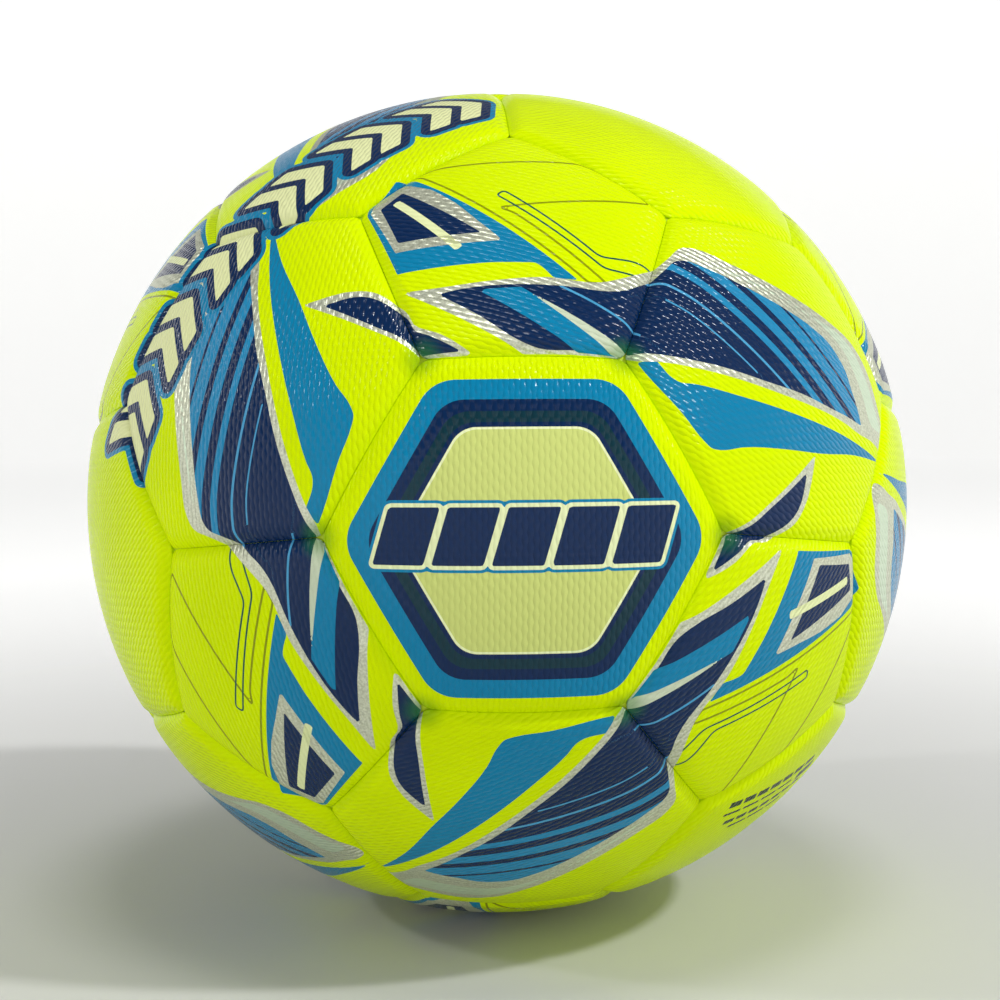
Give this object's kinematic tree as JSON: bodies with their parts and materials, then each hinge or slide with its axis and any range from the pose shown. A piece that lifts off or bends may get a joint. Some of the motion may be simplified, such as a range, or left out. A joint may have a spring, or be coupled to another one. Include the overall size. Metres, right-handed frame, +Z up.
{
  "type": "indoor soccer ball",
  "caption": "Inflated low-bounce indoor soccer ball with bonded foam-backed hexagon and pentagon cover panels, wound carcass, bladder, damping fleece and needle valve.",
  "frame": {"origin": "centre of the ball", "axes": "+Z up as the ball is pictured, with the front badge hexagon's centre on -Y and a pentagon right above it; +X to the right seen from the front"},
  "size_m": [0.2004, 0.2006, 0.2006],
  "materials": {
    "printed_cover": "gloss",
    "cover_foam": "matte",
    "seam_adhesive": "satin",
    "carcass_rubber": "matte",
    "winding_thread": "satin",
    "bladder_butyl": "satin",
    "fleece": "matte",
    "valve_rubber": "satin",
    "plug_rubber": "satin"
  },
  "bodies": {
    "root": {"bladder": "bladder_butyl", "carcass": "carcass_rubber", "cover_hexagon_01": "printed_cover", "cover_hexagon_02": "printed_cover", "cover_hexagon_03": "printed_cover", "cover_hexagon_04": "printed_cover", "cover_hexagon_05": "printed_cover", "cover_hexagon_06": "printed_cover", "cover_hexagon_07": "printed_cover", "cover_hexagon_08": "printed_cover", "cover_hexagon_09": "printed_cover", "cover_hexagon_10": "printed_cover", "cover_hexagon_11": "printed_cover", "cover_hexagon_12": "printed_cover", "cover_hexagon_13": "printed_cover", "cover_hexagon_14": "printed_cover", "cover_hexagon_15": "printed_cover", "cover_hexagon_16": "printed_cover", "cover_hexagon_17": "printed_cover", "cover_hexagon_18": "printed_cover", "cover_hexagon_19": "printed_cover", "cover_hexagon_20": "printed_cover", "cover_pentagon_01": "printed_cover", "cover_pentagon_02": "printed_cover", "cover_pentagon_03": "printed_cover", "cover_pentagon_04": "printed_cover", "cover_pentagon_05": "printed_cover", "cover_pentagon_06": "printed_cover", "cover_pentagon_07": "printed_cover", "cover_pentagon_08": "printed_cover", "cover_pentagon_09": "printed_cover", "cover_pentagon_10": "printed_cover", "cover_pentagon_11": "printed_cover", "cover_pentagon_12": "printed_cover", "damping_fleece": "fleece", "foam_pad_valve": "cover_foam", "foam_pads_hexagon": "cover_foam", "foam_pads_pentagon": "cover_foam", "seam_adhesive": "seam_adhesive", "thread_winding": "winding_thread", "valve_body": "valve_rubber", "valve_plug": "plug_rubber"}
  },
  "joints": []
}
